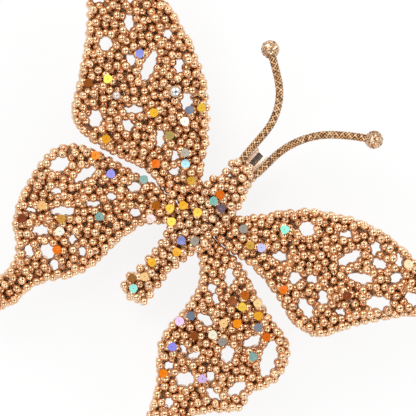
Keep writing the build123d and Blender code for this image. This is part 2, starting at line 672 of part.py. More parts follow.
# Clip: lower jaw, one bent strip with teeth at one end, ears in the middle and a lever at the other
lever_y = tab_y + lever_rim
teeth = []
for n in range(tooth_count):
    teeth.append((jaw_y + n * tooth_pitch, -jaw_gap))
    teeth.append((jaw_y + (n + 0.8) * tooth_pitch, -jaw_gap - tooth_h))
strip_top = teeth + [
    (pivot_y - 3 * ear_r, lever_z),
    (pivot_y + 3 * ear_r, lever_z),
    (lever_y, lever_z - lever_drop),
]
strip_bottom = [
    (lever_y, lever_z - lever_drop - plate_t),
    (pivot_y + 3 * ear_r, lever_z - plate_t),
    (pivot_y - 3 * ear_r, lever_z - plate_t),
    (teeth[-1][0], teeth[-1][1] - plate_t),
    (jaw_y, -jaw_gap - tooth_h - plate_t),
]
with BuildPart() as clip_lower_jaw:
    with BuildSketch(Plane.YZ):
        with BuildLine():
            Polyline(*strip_top, *strip_bottom, close=True)
        make_face()
    extrude(amount=inner_w / 2, both=True)
    with BuildSketch(Plane.XY.offset(lever_z - lever_drop - plate_t)):
        with BuildLine():
            Polyline(*clip_plan(inner_w, tab_w + 2 * lever_rim, lever_y), close=True)
        make_face()
    extrude(amount=lever_drop - lever_z + plate_t, mode=Mode.INTERSECT)
    for side in (-1, 1):
        with BuildSketch(Plane.YZ.offset(side * inner_ear_x)):
            with Locations((pivot_y, pivot_z)):
                Circle(ear_r)
            with Locations((pivot_y, (pivot_z + lever_z - plate_t) / 2)):
                Rectangle(2 * ear_r, pivot_z - lever_z + plate_t)
            with Locations((pivot_y, pivot_z)):
                Circle(pin_d / 2 + pin_gap, mode=Mode.SUBTRACT)
        extrude(amount=side * ear_t)
save(clip_lower_jaw, "clip_lower_jaw")

# Clip: pivot pin, riveted over at both ends
with BuildPart() as clip_pivot_pin:
    with BuildSketch(Plane.YZ):
        with Locations((pivot_y, pivot_z)):
            Circle(pin_d / 2)
    extrude(amount=plate_w / 2 + pin_gap + rivet_t, both=True)
    for side in (-1, 1):
        with BuildSketch(Plane.YZ.offset(side * (plate_w / 2 + pin_gap))):
            with Locations((pivot_y, pivot_z)):
                Circle(rivet_d / 2)
        extrude(amount=side * rivet_t)
save(clip_pivot_pin, "clip_pivot_pin")


def coil_point(turn):
    """Point of the spring's coil: it climbs along X, gently at first and last."""
    share = turn / spring_turns
    angle = math.radians(90 + 360 * turn)
    return Vector(
        spring_length * (share * share * (3 - 2 * share) - 0.5),
        pivot_y + spring_mean_r * math.cos(angle),
        pivot_z + spring_mean_r * math.sin(angle),
    )


def coil_heading(turn):
    share = turn / spring_turns
    angle = math.radians(90 + 360 * turn)
    climb = spring_length * 6 * share * (1 - share) / spring_turns
    around = 2 * math.pi * spring_mean_r
    return Vector(climb, -around * math.sin(angle), around * math.cos(angle)).normalized()


def biarc(start, start_way, end, end_way):
    """Two arcs that join two points along given headings; they meet where their tangents are equal."""
    span = end - start
    both = start_way + end_way
    spread = 2 * (1 - start_way.dot(end_way))
    reach = span.dot(both)
    length = (math.sqrt(reach**2 + spread * span.dot(span)) - reach) / spread
    middle_way = (end - end_way * length) - (start + start_way * length)
    middle = start + start_way * length + middle_way * 0.5
    TangentArc(start, middle, tangent=start_way)
    TangentArc(middle, end, tangent=middle_way)


# Clip: torsion spring round the pin, one unbroken wire whose two legs push the levers apart
quarter_turns = np.arange(0, spring_turns + 0.01, 0.25)
with BuildPart() as clip_spring:
    with BuildLine() as spring_line:
        first = coil_point(0)
        Line(first - coil_heading(0) * spring_leg, first)
        for a, b in zip(quarter_turns[:-1], quarter_turns[1:]):
            biarc(coil_point(a), coil_heading(a), coil_point(b), coil_heading(b))
        last = coil_point(spring_turns)
        Line(last, last + coil_heading(spring_turns) * spring_leg)
    spring_start = first - coil_heading(0) * spring_leg
    with BuildSketch(Plane(origin=spring_start, z_dir=coil_heading(0))):
        Circle(spring_wire_r)
    sweep(path=spring_line.wires()[0])
save(clip_spring, "clip_spring")

coil = np.array([tuple(coil_point(t)) for t in np.arange(0, spring_turns, 0.02)])
far_apart = np.abs(np.subtract.outer(np.arange(len(coil)), np.arange(len(coil)))) > 25
coil_gaps = np.linalg.norm(coil[:, None, :] - coil, axis=-1)[far_apart]
print(f"least gap of the spring to itself: {coil_gaps.min() - spring_wire_d:.2f} mm")
wire_volume = math.pi * spring_wire_r**2 * spring_line.wires()[0].length
print(f"spring volume {clip_spring.part.volume:.2f}, wire section times length {wire_volume:.2f} mm3")
counts = [len(pile) for pile in piles]
print(f"beads on the front and the body: {sum(counts)}, on the back: {sum(len(b) for b in backs.values())}")
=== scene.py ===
import math

import bpy
import numpy as np
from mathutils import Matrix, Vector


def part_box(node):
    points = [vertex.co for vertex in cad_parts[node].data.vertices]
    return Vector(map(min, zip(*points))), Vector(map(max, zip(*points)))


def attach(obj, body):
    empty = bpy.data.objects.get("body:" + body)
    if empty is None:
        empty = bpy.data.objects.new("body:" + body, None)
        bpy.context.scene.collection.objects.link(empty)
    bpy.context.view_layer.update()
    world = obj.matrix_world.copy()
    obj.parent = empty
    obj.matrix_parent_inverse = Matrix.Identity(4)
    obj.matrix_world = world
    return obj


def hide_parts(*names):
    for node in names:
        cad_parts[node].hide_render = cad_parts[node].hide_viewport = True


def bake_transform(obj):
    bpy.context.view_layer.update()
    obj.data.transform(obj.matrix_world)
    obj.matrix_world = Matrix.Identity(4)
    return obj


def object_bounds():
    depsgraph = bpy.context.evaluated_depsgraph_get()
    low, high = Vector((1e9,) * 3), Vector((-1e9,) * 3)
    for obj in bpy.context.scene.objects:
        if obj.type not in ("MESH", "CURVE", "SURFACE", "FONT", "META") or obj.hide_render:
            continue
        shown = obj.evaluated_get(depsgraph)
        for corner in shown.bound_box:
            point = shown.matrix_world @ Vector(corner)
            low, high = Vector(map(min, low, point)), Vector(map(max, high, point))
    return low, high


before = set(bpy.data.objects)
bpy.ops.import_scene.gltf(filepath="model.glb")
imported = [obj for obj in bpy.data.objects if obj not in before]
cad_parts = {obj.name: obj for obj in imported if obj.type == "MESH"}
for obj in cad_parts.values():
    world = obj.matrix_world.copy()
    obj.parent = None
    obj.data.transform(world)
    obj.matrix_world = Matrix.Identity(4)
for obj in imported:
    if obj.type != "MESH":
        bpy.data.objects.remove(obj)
cad_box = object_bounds()
chance = np.random.default_rng(seed=11)

# Body core and wing panels: bronze-coloured plastic, moulded as openwork and flooded with clear glue.
# The wings plug into slots in the core, and the beads glued over them hide all but the dark gaps.


def cloudy_finish():
    """Node group: soft noise in object space, carried to a range, for finishes that are never quite even."""
    group = bpy.data.node_groups.new("cloudy finish", "ShaderNodeTree")
    for socket in ("Scale", "Low", "High"):
        group.interface.new_socket(socket, in_out="INPUT", socket_type="NodeSocketFloat")
    group.interface.new_socket("Value", in_out="OUTPUT", socket_type="NodeSocketFloat")
    given = group.nodes.new("NodeGroupInput")
    result = group.nodes.new("NodeGroupOutput")
    place = group.nodes.new("ShaderNodeTexCoord")
    noise = group.nodes.new("ShaderNodeTexNoise")
    noise.inputs["Detail"].default_value = 3.0
    spread = group.nodes.new("ShaderNodeMapRange")
    spread.inputs["From Min"].default_value = 0.3
    spread.inputs["From Max"].default_value = 0.7
    group.links.new(place.outputs["Object"], noise.inputs["Vector"])
    group.links.new(given.outputs["Scale"], noise.inputs["Scale"])
    group.links.new(noise.outputs["Fac"], spread.inputs["Value"])
    group.links.new(given.outputs["Low"], spread.inputs["To Min"])
    group.links.new(given.outputs["High"], spread.inputs["To Max"])
    group.links.new(spread.outputs["Result"], result.inputs["Value"])
    return group


cloudy = cloudy_finish()


def plain_finish(name, colour, metallic, roughness):
    """A new material with one principled shader, and the shader."""
    material = bpy.data.materials.new(name)
    material.use_nodes = True
    shader = material.node_tree.nodes["Principled BSDF"]
    shader.inputs["Base Color"].default_value = (*colour, 1.0)
    shader.inputs["Metallic"].default_value = metallic
    shader.inputs["Roughness"].default_value = roughness
    return material, shader


def add_cloud(material, scale, low=0.0, high=1.0):
    """The cloudy finish placed in a material; its value runs from low to high over blotches one over the
    scale wide."""
    node = material.node_tree.nodes.new("ShaderNodeGroup")
    node.node_tree = cloudy
    node.inputs["Scale"].default_value = scale
    node.inputs["Low"].default_value = low
    node.inputs["High"].default_value = high
    return node.outputs["Value"]


def add_ramp(owner, value, *stops):
    """A colour ramp on a value, from (place, colour) stops, in a material or a world."""
    ramp = owner.node_tree.nodes.new("ShaderNodeValToRGB")
    while len(ramp.color_ramp.elements) < len(stops):
        ramp.color_ramp.elements.new(0.5)
    for element, (place, colour) in zip(ramp.color_ramp.elements, stops):
        element.position = place
        element.color = (*colour, 1.0)
    owner.node_tree.links.new(value, ramp.inputs["Fac"])
    return ramp.outputs["Color"]


def colour_by(material, shader, value, *stops):
    """Base colour of a finish: a ramp of (place, colour) stops on a value."""
    material.node_tree.links.new(add_ramp(material, value, *stops), shader.inputs["Base Color"])


def cloud_gloss(material, shader, scale, low, high):
    """Roughness of a finish: a cloud between two values."""
    material.node_tree.links.new(add_cloud(material, scale, low, high), shader.inputs["Roughness"])


def add_bump(material, shader, height, strength, depth):
    """A bump of a given depth in metres on the shader's normal."""
    bump = material.node_tree.nodes.new("ShaderNodeBump")
    bump.inputs["Strength"].default_value = strength
    bump.inputs["Distance"].default_value = depth
    material.node_tree.links.new(height, bump.inputs["Height"])
    material.node_tree.links.new(bump.outputs["Normal"], shader.inputs["Normal"])


bronze, bronze_shader = plain_finish("glued bronze moulding", (0.58, 0.37, 0.22), metallic=0.6, roughness=0.4)
bronze_shader.inputs["Coat Weight"].default_value = 0.5
bronze_shader.inputs["Coat Roughness"].default_value = 0.12
bronze_blotches = add_cloud(bronze, scale=420.0)
colour_by(bronze, bronze_shader, bronze_blotches, (0.0, (0.46, 0.28, 0.16)), (1.0, (0.68, 0.45, 0.28)))
cloud_gloss(bronze, bronze_shader, scale=900.0, low=0.22, high=0.5)
add_bump(bronze, bronze_shader, add_cloud(bronze, scale=700.0), strength=0.6, depth=0.0003)


def dress(node, material):
    """A CAD node that keeps its own shape takes a finish."""
    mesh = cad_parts[node].data
    mesh.materials.clear()
    mesh.materials.append(material)


wing_names = ("left_forewing", "right_forewing", "left_hindwing", "right_hindwing")
dress("body_core", bronze)
for wing_name in wing_names:
    dress(f"{wing_name}_panel", bronze)

# Round beads: acrylic, drilled through and vacuum-plated in rose gold, so each is a small mirror.
# They lie in rows along every edge, heaped two deep on the front and glued all round the body.
bead_r = 0.0015
bore_r = 0.00042
bead_around = 12
bead_rows = 6


def bead_places(node, radius):
    """Middles of the balls that stand for a node's beads: each triangle lies one radius out from its bead's
    middle, along its normal; the mean over a run of triangles is a guess at that middle, and guesses within
    half a radius of each other become one. Guesses farther apart stay balls of their own, so many beads
    hold more than one ball."""
    near = radius / 2
    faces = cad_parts[node].data.polygons
    middle = np.empty(3 * len(faces), np.float32)
    normal = np.empty(3 * len(faces), np.float32)
    faces.foreach_get("center", middle)
    faces.foreach_get("normal", normal)
    guess = (middle - radius * normal).reshape(-1, 3)
    jump = np.linalg.norm(np.diff(guess, axis=0), axis=1) > near
    starts = np.concatenate(([0], np.flatnonzero(jump) + 1))
    counts = np.diff(np.append(starts, len(guess)))
    guesses = np.add.reduceat(guess.astype(float), starts) / counts[:, None]
    square = (guesses**2).sum(axis=1)
    apart = square[:, None] + square - 2 * guesses @ guesses.T
    first = (apart < near**2).argmax(axis=1)
    bead = np.unique(first, return_inverse=True)[1]
    sums = np.stack([np.bincount(bead, counts * way) for way in guesses.T], axis=1)
    return sums / np.bincount(bead, counts)[:, None]


def ring_quads(rows, around):
    """Faces of a grid that closes on itself both ways: each point, the next row's, and their neighbours."""
    row = np.arange(rows)[:, None]
    spot = np.arange(around)
    below = (row + 1) % rows
    beside = (spot + 1) % around
    corners = (row * around + spot, below * around + spot, below * around + beside, row * around + beside)
    return np.stack(np.broadcast_arrays(*corners), axis=-1).reshape(-1, 4)


def repeat_quads(quads, size, count):
    """Faces of equal shells laid one after another: those of each shell start one shell's points later."""
    return (quads + size * np.arange(count)[:, None, None]).reshape(-1, 4)


def unit(rows):
    """Each row divided by its length."""
    return rows / np.linalg.norm(rows, axis=1)[:, None]


def drilled_ball():
    """Unit ball with a hole: an arc from the hole's one rim to its other rim, turned about Z; the last
    row of faces runs straight back through the hole."""
    rim = math.asin(bore_r / bead_r)
    polar = np.linspace(rim, math.pi - rim, bead_rows + 1)
    turn = np.linspace(0, 2 * math.pi, bead_around, endpoint=False)
    x = np.outer(np.sin(polar), np.cos(turn))
    y = np.outer(np.sin(polar), np.sin(turn))
    z = np.outer(np.cos(polar), np.ones(bead_around))
    return np.stack((x, y, z), axis=-1).reshape(-1, 3)


def any_turns(count):
    """Random turns, as matrices of random unit quaternions."""
    w, x, y, z = unit(chance.normal(size=(count, 4))).T
    rows = (
        (1 - 2 * (y * y + z * z), 2 * (x * y - z * w), 2 * (x * z + y * w)),
        (2 * (x * y + z * w), 1 - 2 * (x * x + z * z), 2 * (y * z - x * w)),
        (2 * (x * z - y * w), 2 * (y * z + x * w), 1 - 2 * (x * x + y * y)),
    )
    return np.moveaxis(np.array(rows), 2, 0)


def quad_piece(name, points, quads, material, smooth=True):
    """An object at the origin from points and four-cornered faces."""
    mesh = bpy.data.meshes.new(name)
    mesh.vertices.add(len(points))
    mesh.vertices.foreach_set("co", np.ascontiguousarray(points, np.float32).ravel())
    mesh.loops.add(quads.size)
    mesh.loops.foreach_set("vertex_index", np.ascontiguousarray(quads, np.int32).ravel())
    mesh.polygons.add(len(quads))
    mesh.polygons.foreach_set("loop_start", np.arange(0, quads.size, 4, dtype=np.int32))
    mesh.polygons.foreach_set("use_smooth", np.full(len(quads), smooth))
    mesh.update(calc_edges=True)
    mesh.materials.append(material)
    piece = bpy.data.objects.new(name, mesh)
    bpy.context.scene.collection.objects.link(piece)
    return piece


def note_on_points(piece, name, values):
    """A value kept on every point of a piece, for its material to read."""
    attribute = piece.data.attributes.new(name, "FLOAT", "POINT")
    attribute.data.foreach_set("value", np.ascontiguousarray(values, np.float32).ravel())


def read_note(material, name):
    """The value that a piece keeps on its points."""
    node = material.node_tree.nodes.new("ShaderNodeAttribute")
    node.attribute_name = name
    return node.outputs["Fac"]


def plated_finish(name, deep, pale):
    """Mirror plating under clear lacquer: each bead lies somewhere between two tints, with faint smears in
    its gloss."""
    material, shader = plain_finish(name, pale, metallic=0.87, roughness=0.1)
    shader.inputs["Coat Weight"].default_value = 1.0
    shader.inputs["Coat IOR"].default_value = 1.9
    shader.inputs["Coat Roughness"].default_value = 0.04
    colour_by(material, shader, read_note(material, "tint"), (0.0, deep), (1.0, pale))
    cloud_gloss(material, shader, scale=1500.0, low=0.09, high=0.22)
    return material


rose_gold = plated_finish("rose gold plating", (0.81, 0.44, 0.205), (0.95, 0.61, 0.33))
champagne = plated_finish("champagne plating", (0.83, 0.48, 0.25), (0.97, 0.67, 0.40))
ball_shell = drilled_ball()
ball_quads = ring_quads(bead_rows + 1, bead_around)


def beads_for(node, piece_name, material, radius=bead_r):
    """One piece of drilled, plated beads in place of a node's plain ones, none of it outside the node's
    box."""
    centres = bead_places(node, radius)
    turned = np.einsum("nij,vj->nvi", any_turns(len(centres)), ball_shell)
    points = np.clip((centres[:, None, :] + radius * turned).reshape(-1, 3), *np.array(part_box(node)))
    quads = repeat_quads(ball_quads, len(ball_shell), len(centres))
    piece = quad_piece(piece_name, points, quads, material)
    note_on_points(piece, "tint", np.repeat(chance.uniform(0, 1, len(centres)), len(ball_shell)))
    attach(piece, "ornament")
    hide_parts(node)


for wing_name in wing_names:
    for layer in ("front", "top", "back"):
        place = f"{wing_name}_{layer}"
        beads_for(f"{place}_beads", f"plated_beads_{place}", rose_gold)
for part in ("head", "thorax", "abdomen"):
    beads_for(f"{part}_beads", f"plated_beads_{part}", champagne)

# Two odd beads among those of the left forewing: a larger one plated in silver, and one of pearly white
# acrylic that is as large as the others.
silver_r = 0.0021
silver = plated_finish("silver plating", (0.80, 0.79, 0.77), (0.92, 0.91, 0.90))
pearl, pearl_shader = plain_finish("pearl acrylic", (0.80, 0.73, 0.65), metallic=0.5, roughness=0.12)
pearl_shader.inputs["Coat Weight"].default_value = 0.6
cloud_gloss(pearl, pearl_shader, scale=1200.0, low=0.06, high=0.2)
beads_for("silver_bead", "silver_plated_bead", silver, silver_r)
beads_for("white_bead", "pearly_white_bead", pearl)

# Sequins: punched from coloured metallic foil, six rounded corners with a nick in each side and a
# pinhole in the middle. Each lies on the beads under it, held by a touch of glue. Every colour has three
# tints, and each sequin, from left to right, a share between them: a painted sheen, the colour and
# brightness that sequin's foil shows as it catches the light at its own tilt.
sequin_r = 0.00165
sequin_t = 0.0002
pinhole_r = 0.00016
sequin_around = 48
foils = {
    "gold": (
        ((0.50, 0.23, 0.012), (1.0, 0.62, 0.07), (0.96, 0.81, 0.09)),
        (1.0, 0.0, 0.4, 0.15, 0.6, 0.7, 0.6, 0.1, 0.55),
    ),
    "amber": (
        ((0.80, 0.34, 0.02), (0.95, 0.45, 0.025), (1.0, 0.54, 0.03)),
        (0.2, 1.0, 0.7, 0.8, 0.5, 0.3),
    ),
    "orange": (
        ((0.45, 0.12, 0.004), (0.90, 0.16, 0.002), (1.0, 0.30, 0.002)),
        (1.0, 0.6, 0.55, 0.0, 0.35, 0.8, 0.1, 1.0, 0.6, 0.35),
    ),
    "copper": (
        ((0.24, 0.05, 0.015), (0.32, 0.085, 0.012), (0.48, 0.36, 0.11)),
        (0.5, 0.0, 1.0, 0.6, 0.3, 0.4, 0.1),
    ),
    "cream": (((1.0, 0.86, 0.54), (1.0, 0.93, 0.70), (1.0, 0.97, 0.82)), (1.0, 1.0, 0.6, 0.0)),
    "peach": (((0.96, 0.55, 0.21), (0.98, 0.63, 0.27), (1.0, 0.70, 0.32)), (0.0, 0.6, 0.4, 1.0)),
    "aqua": (
        ((0.23, 0.41, 0.37), (0.32, 1.0, 0.72), (0.49, 0.85, 0.97)),
        (0.0, 0.0, 1.0, 0.1, 0.7, 0.5, 0.0),
    ),
    "violet": (((0.22, 0.25, 0.48), (0.32, 0.31, 0.95), (0.66, 0.66, 1.0)), (0.2, 0.6, 0.1, 1.0, 0.5)),
    "pink": (((0.72, 0.52, 0.90), (0.80, 0.58, 0.86), (0.84, 0.70, 0.68)), (1.0, 0.3, 0.0)),
    "slate": (
        ((0.155, 0.115, 0.155), (0.19, 0.23, 0.30), (0.40, 0.36, 0.29)),
        (0.4, 1.0, 0.0, 1.0, 0.95, 0.5, 0.9, 0.6),
    ),
}


def sequin_places(node):
    """Middle, face direction and corner direction of each sequin of a node: a flat prism's triangles
    follow each other, twenty to a sequin, and it is thinnest along its face direction."""
    prism_triangles = 20
    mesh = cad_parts[node].data
    corners = np.empty(len(mesh.loops), np.int32)
    mesh.loops.foreach_get("vertex_index", corners)
    co = np.empty(3 * len(mesh.vertices), np.float32)
    mesh.vertices.foreach_get("co", co)
    prisms = co.reshape(-1, 3)[corners].astype(float).reshape(-1, 3 * prism_triangles, 3)
    middle = (prisms.min(axis=1) + prisms.max(axis=1)) / 2
    spread = prisms - middle[:, None, :]
    face = np.linalg.eigh(np.einsum("nki,nkj->nij", spread, spread))[1][:, :, 0]
    face *= np.sign(face[:, 2:])
    far = np.linalg.norm(spread, axis=2).argmax(axis=1)
    corner = spread[np.arange(len(prisms)), far]
    corner -= (corner * face).sum(axis=1)[:, None] * face
    return middle, face, unit(corner)


def sequin_form():
    """Rounded hexagon with nicks: its radius falls between the corners with the sixth harmonic and dips in
    six narrow nicks; the section runs from the pinhole over the face to the rim and back below."""
    fall, nick_depth, nick_width = 0.05, 0.18, 0.16
    turn = np.linspace(0, 2 * math.pi, sequin_around, endpoint=False)
    from_nick = (turn * 3 / math.pi) % 2 - 1
    rim = 1 - fall + fall * np.cos(6 * turn) - nick_depth * np.exp(-((from_nick / nick_width) ** 2))
    share = np.array([0.0, 0.5, 1.0, 1.0, 0.5, 0.0])
    lift = sequin_t * np.array([0.12, 0.38, 0.5, -0.5, -0.62, -0.5])
    reach = pinhole_r + share[:, None] * (sequin_r * rim - pinhole_r)
    grid = (reach * np.cos(turn), reach * np.sin(turn), np.broadcast_to(lift[:, None], reach.shape))
    return np.stack(grid, axis=-1).reshape(-1, 3)


sequin_shell = sequin_form()
sequin_quads = ring_quads(len(sequin_shell) // sequin_around, sequin_around)
for colour_name, (tints, sheen_shares) in foils.items():
    foil, foil_shader = plain_finish(f"{colour_name} foil", tints[1], metallic=0.1, roughness=0.25)
    foil_shader.inputs["Specular IOR Level"].default_value = 0.3
    colour_by(foil, foil_shader, read_note(foil, "tint"), *zip((0.0, 0.5, 1.0), tints))
    cloud_gloss(foil, foil_shader, scale=2500.0, low=0.16, high=0.34)
    middle, face, corner = sequin_places(f"{colour_name}_sequins")
    axes = np.stack((corner, np.cross(face, corner), face), axis=2)
    points = (middle[:, None, :] + np.einsum("nij,vj->nvi", axes, sequin_shell)).reshape(-1, 3)
    quads = repeat_quads(sequin_quads, len(sequin_shell), len(middle))
    sequins = quad_piece(f"foil_sequins_{colour_name}", points, quads, foil, smooth=False)
    # Painted sheen: each sequin's share between its colour's tints stands for how its foil catches the light.
    from_left = middle[:, 0].argsort().argsort()
    note_on_points(sequins, "tint", np.repeat(np.array(sheen_shares)[from_left], len(sequin_shell)))
    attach(sequins, "ornament")
    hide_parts(f"{colour_name}_sequins")

# Antennae: a steel wire glued into the head, in a sleeve braided from metallic thread whose small loops
# are uneven, with a ball dipped in coarse glitter pushed over its end. The wire keeps the bend it was given.
wire_finish, wire_shader = plain_finish("drawn wire", (0.52, 0.47, 0.42), metallic=1.0, roughness=0.3)
cloud_gloss(wire_finish, wire_shader, scale=1800.0, low=0.2, high=0.42)
axis_z = 0.0050
root_x, root_y = 0.0016, 0.0220
rise = math.radians(10.0)
splay = 11.0
ball_r = 0.0032
ball_depth = 0.0020
sleeve_r = 0.00145
sleeve_from = 0.0082
braid_threads = 6
braid_pitch = 0.0033
line_step = 0.00007
braid_around = 48
antenna_bends = {
    "left": (-1, 2.3, [(0.0100, 0.0216, 54.2), (0.0043, 0.060, 2.5)]),
    "right": (1, 2.0, [(0.0047, 0.0293, 48.7), (0.0022, 0.060, 7.3)]),
}


def antenna_line(side, after_kink, bends):
    """Middle line of an antenna in the plane that rises from the head: its curvature is nought on the runs
    and one over the radius in the bends, its heading sums the curvature, and its place sums the heading."""
    stem, kink_r = 0.0096, 0.018
    lengths = [stem, kink_r * math.radians(splay - after_kink)]
    curves = [0.0, side / kink_r]
    for run, radius, turn in bends:
        lengths += [run, radius * math.radians(turn)]
        curves += [0.0, -side / radius]
    ends = np.cumsum(lengths + [ball_depth])
    along = np.arange(0, ends[-1], line_step)
    curve = np.array(curves + [0.0])[np.searchsorted(ends, along, side="right").clip(max=len(ends) - 1)]
    heading = math.radians(90 - side * splay) + np.cumsum(curve) * line_step
    u = side * root_x + np.cumsum(np.cos(heading)) * line_step
    v = np.cumsum(np.sin(heading)) * line_step
    return along, u, v, heading


def in_place(u, v, w):
    """From the antennae's rising plane to the object's own axes."""
    return np.stack((
        u,
        root_y + v * math.cos(rise) - w * math.sin(rise),
        axis_z + v * math.sin(rise) + w * math.cos(rise),
    ), axis=-1)


def braided_tube(along, u, v, heading):
    """Tube round a line whose radius follows two sets of threads that wind opposite ways: each thread is a
    rounded ridge, the two sets take turns to lie on top, and each loop has a height of its own. Also
    gives each point's height."""
    dip, relief = 0.25, 0.12
    loop_rows, loop_columns = 10, 4
    strands = braid_threads / 2
    turn = np.linspace(0, 2 * math.pi, braid_around, endpoint=False)
    wind = 2 * math.pi * along[:, None] / braid_pitch * strands / 2
    one_way = np.abs(np.cos(strands * turn + wind))
    other_way = np.abs(np.cos(strands * turn - wind))
    over = 0.5 + 0.5 * np.sign(np.sin(strands * turn) * np.sin(wind))
    ridge = np.maximum(one_way * (1 - dip + dip * over), other_way * (1 - dip * over))
    loops = chance.uniform(0.3, 1.0, (len(along) // loop_rows + 1, braid_around // loop_columns))
    loops = np.repeat(loops, loop_rows, axis=0)[: len(along)]
    ridge = ridge**2 * np.repeat(loops, loop_columns, axis=1)
    radius = sleeve_r * (1 - relief + relief * ridge)
    side_u, side_v = -np.sin(heading)[:, None], np.cos(heading)[:, None]
    points = in_place(
        u[:, None] + radius * np.cos(turn) * side_u,
        v[:, None] + radius * np.cos(turn) * side_v,
        radius * np.sin(turn),
    )
    return points.reshape(-1, 3), ridge


def tube_quads(rows, around):
    """Faces of a tube left open at its ends: the rows of a closed grid without the last."""
    return ring_quads(rows, around)[: (rows - 1) * around, ::-1]


braid, braid_shader = plain_finish("metallic braid", (0.72, 0.50, 0.35), metallic=0.6, roughness=0.3)
# Painted shade and glints: the braid is near black in the dips between its threads and near white on its
# highest loops.
braid_shade_and_glint_stops = (
    (0.0, (0.02, 0.006, 0.002)),
    (0.25, (0.2, 0.08, 0.025)),
    (0.5, (0.8, 0.44, 0.19)),
    (1.0, (1.0, 0.88, 0.68)),
)
colour_by(braid, braid_shader, read_note(braid, "ridge"), *braid_shade_and_glint_stops)
cloud_gloss(braid, braid_shader, scale=3000.0, low=0.15, high=0.45)
add_bump(braid, braid_shader, add_cloud(braid, scale=5200.0), strength=0.7, depth=0.00012)


def glitter_ball(centre):
    """Ball of facets: a grid over the sphere whose points move in and out at random, and over it small
    flat flakes, each a square that leans at random. Gives points, faces and a tint for each point."""
    rows, around, flakes = 16, 26, 300
    pole_gap, stagger, tilt, core_tint = 0.03, 0.12, 0.4, 0.45
    polar = np.linspace(pole_gap, math.pi - pole_gap, rows)[:, None]
    turn = np.linspace(0, 2 * math.pi, around, endpoint=False)
    turn = turn + stagger * chance.uniform(-1, 1, (rows, around))
    x = np.sin(polar) * np.cos(turn)
    y = np.sin(polar) * np.sin(turn)
    z = np.broadcast_to(np.cos(polar), turn.shape)
    core = ball_r * chance.uniform(0.91, 0.96, (rows, around, 1)) * np.stack((x, y, z), axis=-1)
    core = core.reshape(-1, 3)
    core_quads = tube_quads(rows, around)[:, ::-1]
    way = unit(chance.normal(size=(flakes, 3)))
    lean = unit(way + chance.normal(scale=tilt, size=way.shape))
    first = unit(np.cross(lean, chance.normal(size=way.shape)))
    second = np.cross(lean, first)
    size = ball_r * chance.uniform(0.08, 0.15, (flakes, 1))
    spot = ball_r * chance.uniform(0.955, 0.975, (flakes, 1)) * way
    corners = (spot + size * first, spot + size * second, spot - size * first, spot - size * second)
    square = np.stack(corners, axis=1)
    square *= np.minimum(1, ball_r / np.linalg.norm(square, axis=-1))[..., None]
    flake_quads = len(core) + np.arange(4 * flakes).reshape(-1, 4)
    points = centre + np.concatenate((core, square.reshape(-1, 3)))
    tint = np.concatenate((np.full(len(core), core_tint), np.repeat(chance.uniform(0, 1, flakes), 4)))
    return points, np.concatenate((core_quads, flake_quads)), tint


glitter, glitter_shader = plain_finish("glitter coat", (0.80, 0.58, 0.43), metallic=0.9, roughness=0.22)
glitter_stops = (
    (0.0, (0.30, 0.15, 0.07)),
    (0.3, (0.62, 0.38, 0.22)),
    (0.7, (0.92, 0.66, 0.44)),
    (1.0, (1.0, 0.88, 0.72)),
)
colour_by(glitter, glitter_shader, read_note(glitter, "tint"), *glitter_stops)
cloud_gloss(glitter, glitter_shader, scale=2600.0, low=0.1, high=0.3)

for side_name, (side, after_kink, bends) in antenna_bends.items():
    dress(f"{side_name}_antenna_wire", wire_finish)
    along, u, v, heading = antenna_line(side, after_kink, bends)
    covered = np.flatnonzero(along >= sleeve_from)
    points, ridge = braided_tube(along[covered], u[covered], v[covered], heading[covered])
    sleeve = quad_piece(f"braided_sleeve_{side_name}", points, tube_quads(len(covered), braid_around), braid)
    note_on_points(sleeve, "ridge", ridge)
    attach(sleeve, "ornament")
    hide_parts(f"{side_name}_antenna_sleeve")
    beyond = ball_r - ball_depth
    ball_u = u[-1] + beyond * np.cos(heading[-1])
    ball_v = v[-1] + beyond * np.sin(heading[-1])
    points, quads, tint = glitter_ball(in_place(ball_u, ball_v, 0.0))
    ball = quad_piece(f"glitter_ball_{side_name}", points, quads, glitter, smooth=False)
    note_on_points(ball, "tint", tint)
    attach(ball, "ornament")
    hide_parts(f"{side_name}_antenna_ball")

# Clip: two halves stamped from thin steel and plated, hinged on a riveted pin. The upper plate is
# glued under the body with its bevelled finger tab past the head; the lower jaw bites against it.
clip_steel, clip_shader = plain_finish(
    "stamped plated steel", (0.50, 0.45, 0.41), metallic=1.0, roughness=0.2,
)
grain_place = clip_steel.node_tree.nodes.new("ShaderNodeTexCoord")
grain_stretch = clip_steel.node_tree.nodes.new("ShaderNodeMapping")
grain_stretch.inputs["Scale"].default_value = (9000.0, 350.0, 4000.0)
grain = clip_steel.node_tree.nodes.new("ShaderNodeTexNoise")
grain.inputs["Scale"].default_value = 1.0
clip_links = clip_steel.node_tree.links
clip_links.new(grain_place.outputs["Object"], grain_stretch.inputs["Vector"])
clip_links.new(grain_stretch.outputs["Vector"], grain.inputs["Vector"])
clip_blotches = add_cloud(clip_steel, scale=260.0)
colour_by(clip_steel, clip_shader, clip_blotches, (0.0, (0.60, 0.46, 0.37)), (1.0, (0.74, 0.60, 0.50)))
cloud_gloss(clip_steel, clip_shader, scale=700.0, low=0.14, high=0.3)
add_bump(clip_steel, clip_shader, grain.outputs["Fac"], strength=0.25, depth=0.00004)
rivet_steel, rivet_shader = plain_finish("plated rivet", (0.60, 0.58, 0.56), metallic=1.0, roughness=0.22)
cloud_gloss(rivet_steel, rivet_shader, scale=1600.0, low=0.14, high=0.34)
dress("clip_upper_plate", clip_steel)
dress("clip_lower_jaw", clip_steel)
dress("clip_pivot_pin", rivet_steel)

# Spring of the clip: one length of hard steel wire wound round the pin, with two straight legs that
# push the finger ends apart. The lower leg goes with the lever.
pivot_y, pivot_z = 0.0180, -0.0020
spring_r, spring_wire_r = 0.0016, 0.00035
spring_span, spring_turns, spring_leg = 0.0033, 2.5, 0.0080
spring_around = 12
end_step = 1e-6


